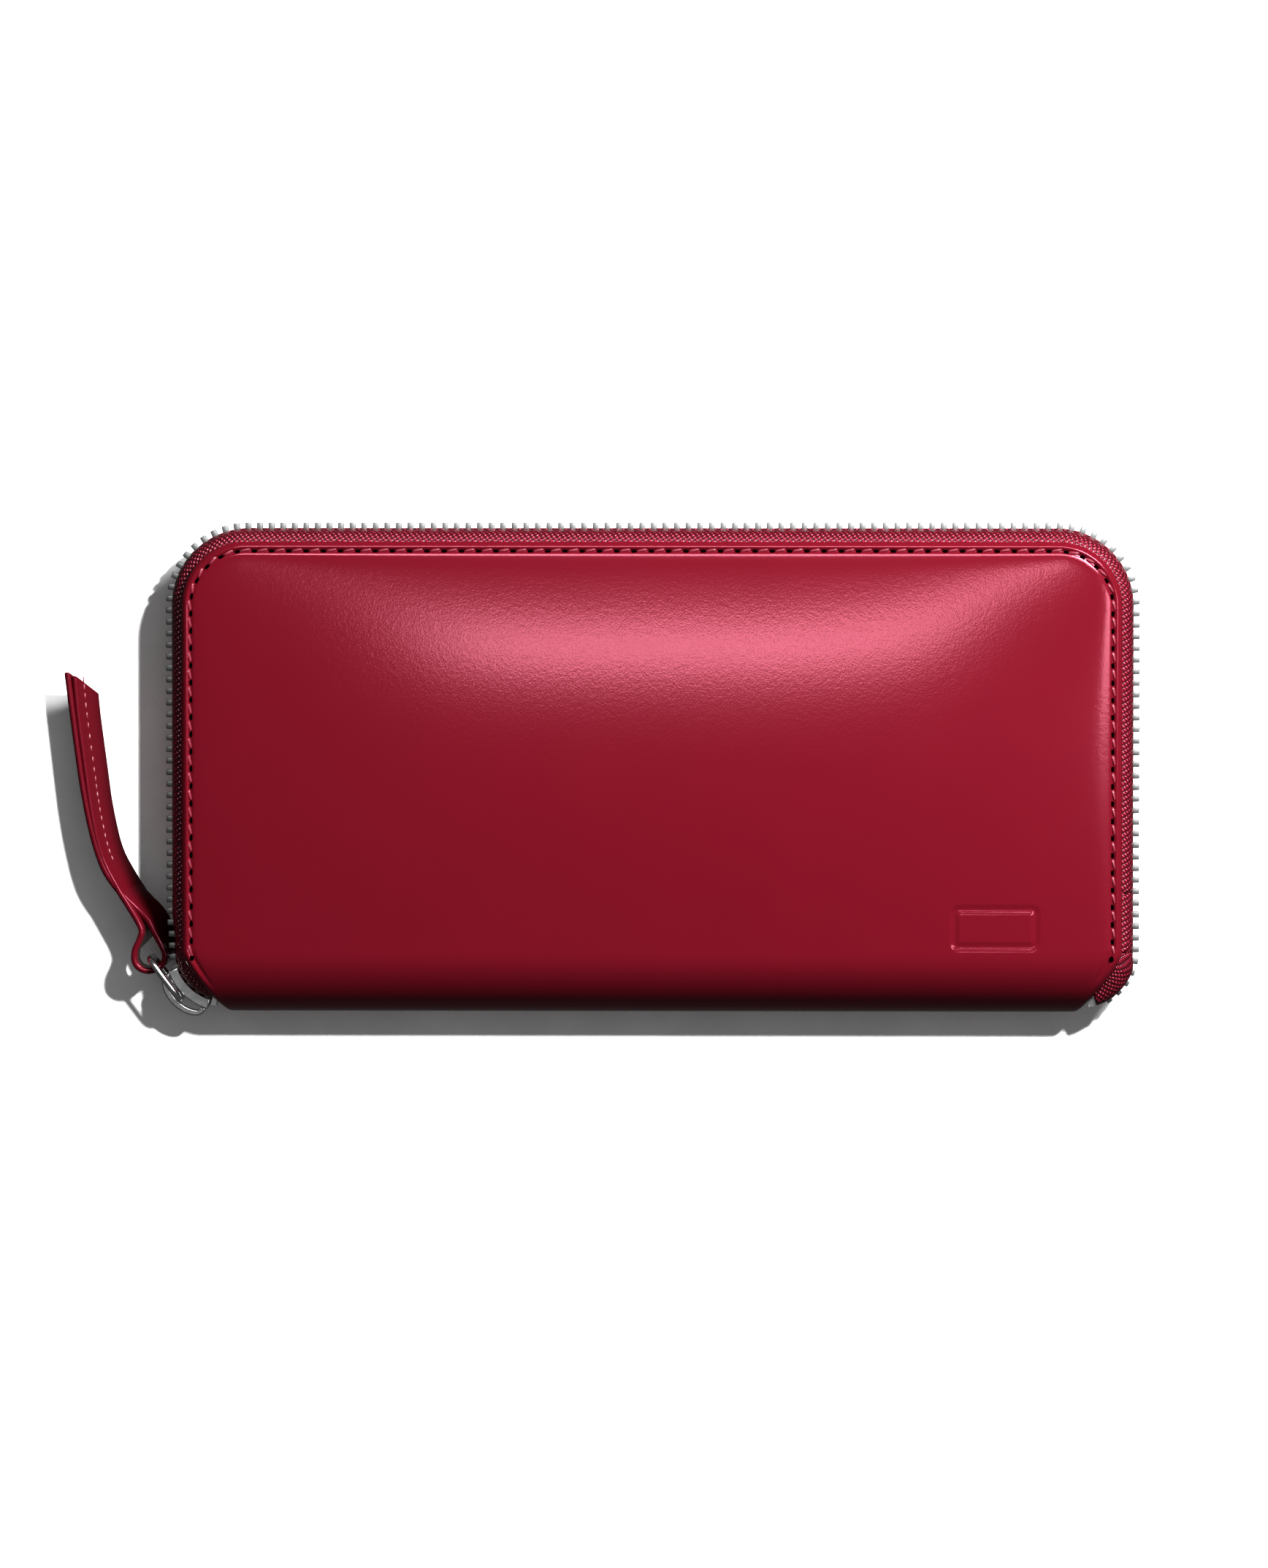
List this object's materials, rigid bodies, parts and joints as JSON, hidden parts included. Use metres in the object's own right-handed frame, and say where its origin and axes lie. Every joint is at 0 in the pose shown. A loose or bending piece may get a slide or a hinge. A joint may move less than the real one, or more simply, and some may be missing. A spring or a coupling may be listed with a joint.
{
  "type": "zip around wallet",
  "caption": "Long zip around wallet with leather covers, card slots, bill compartments, a zipped coin pocket, and a slider with a ring and leather pull strap.",
  "frame": {"origin": "middle of the flat back face that the closed wallet rests on", "axes": "+X along the length, +Y from the spine to the long zipped side, +Z out of the front cover"},
  "size_m": [0.2171, 0.0995, 0.025],
  "materials": {
    "red_leather": "glossy smooth dark red leather",
    "strap_leather": "satin red leather",
    "card_leather": "thin matt dark red leather",
    "lining_fabric": "woven dark burgundy lining",
    "zip_tape": "red twill tape",
    "zip_teeth": "grey nickel teeth",
    "zip_metal": "polished dark nickel",
    "board": "grey board",
    "foam": "white padding felt"
  },
  "bodies": {
    "back": {"back_card_slot_1": "card_leather", "back_card_slot_2": "card_leather", "back_card_slot_3": "card_leather", "back_cover": "red_leather", "back_lining": "lining_fabric", "back_padding": "foam", "back_stiffener": "board", "gusset_back_left": "lining_fabric", "gusset_back_right": "lining_fabric", "zip_bottom_stop": "zip_metal", "zip_tape_back": "zip_tape", "zip_tape_back_left_end": "zip_tape", "zip_tape_back_right_end": "zip_tape", "zip_tape_front_left_end": "zip_tape", "zip_tape_front_right_end": "zip_tape", "zip_teeth_back": "zip_teeth", "zip_teeth_back_left_end": "zip_teeth", "zip_teeth_back_right_end": "zip_teeth", "zip_teeth_front_left_end": "zip_teeth", "zip_teeth_front_right_end": "zip_teeth", "zip_top_stop_back": "zip_metal", "zip_top_stop_front": "zip_metal"},
    "coin_pocket": {"gusset_front_left": "lining_fabric", "gusset_front_right": "lining_fabric", "pocket_back_panel": "lining_fabric", "pocket_edge_binding": "card_leather", "pocket_front_panel": "lining_fabric", "pocket_zip_stop_left": "zip_metal", "pocket_zip_stop_right": "zip_metal", "pocket_zip_tape_back": "zip_tape", "pocket_zip_tape_front": "zip_tape", "pocket_zip_teeth_back": "zip_teeth", "pocket_zip_teeth_front": "zip_teeth"},
    "front": {"front_card_slot_1": "card_leather", "front_card_slot_2": "card_leather", "front_card_slot_3": "card_leather", "front_cover": "red_leather", "front_lining": "lining_fabric", "front_padding": "foam", "front_stiffener": "board", "zip_tape_front": "zip_tape", "zip_teeth_front": "zip_teeth"},
    "slider": {"slider_bail": "zip_metal", "slider_body": "zip_metal"},
    "pull_ring": {"pull_ring": "zip_metal"},
    "pull_strap": {"pull_strap": "strap_leather"},
    "pocket_slider": {"pocket_slider_bail": "zip_metal", "pocket_slider_body": "zip_metal"},
    "pocket_puller": {"pocket_puller": "zip_metal"}
  },
  "joints": [
    {"name": "pocket_hinge", "type": "hinge", "parent": "back", "child": "coin_pocket", "pos_m": [0, -0.04935, 0.0125], "axis": [1, 0, 0], "range_deg": [0, 40], "deforming": ["gusset_back_left", "gusset_back_right"]},
    {"name": "front_hinge", "type": "hinge", "parent": "coin_pocket", "child": "front", "pos_m": [0, -0.04935, 0.0125], "axis": [1, 0, 0], "range_deg": [0, 40], "deforming": ["gusset_front_left", "gusset_front_right"]},
    {"name": "slider_run", "type": "hinge", "parent": "back", "child": "slider", "pos_m": [-0.0865, -0.03685, 0.0125], "axis": [0, 0, -1], "range_deg": [0, 26]},
    {"name": "ring_swing", "type": "hinge", "parent": "slider", "child": "pull_ring", "pos_m": [-0.09595, -0.04663, 0.0125], "axis": [0, 0, 1], "range_deg": [0, 100]},
    {"name": "strap_swing", "type": "hinge", "parent": "pull_ring", "child": "pull_strap", "pos_m": [-0.10197, -0.03865, 0.0125], "axis": [0, 0, 1], "range_deg": [0, 90]},
    {"name": "pocket_slider_run", "type": "slide", "parent": "coin_pocket", "child": "pocket_slider", "axis": [1, 0, 0], "range_m": [-0.006, 0.145]},
    {"name": "pocket_puller_swing", "type": "hinge", "parent": "pocket_slider", "child": "pocket_puller", "pos_m": [-0.07, 0.0332, 0.0125], "axis": [0, 0, 1], "range_deg": [-80, 80]}
  ],
  "couplings": [
    {"joint": "front_hinge", "follows": "pocket_hinge", "ratio": 1},
    {"joint": "ring_swing", "follows": "slider_run", "ratio": 3.84}
  ]
}
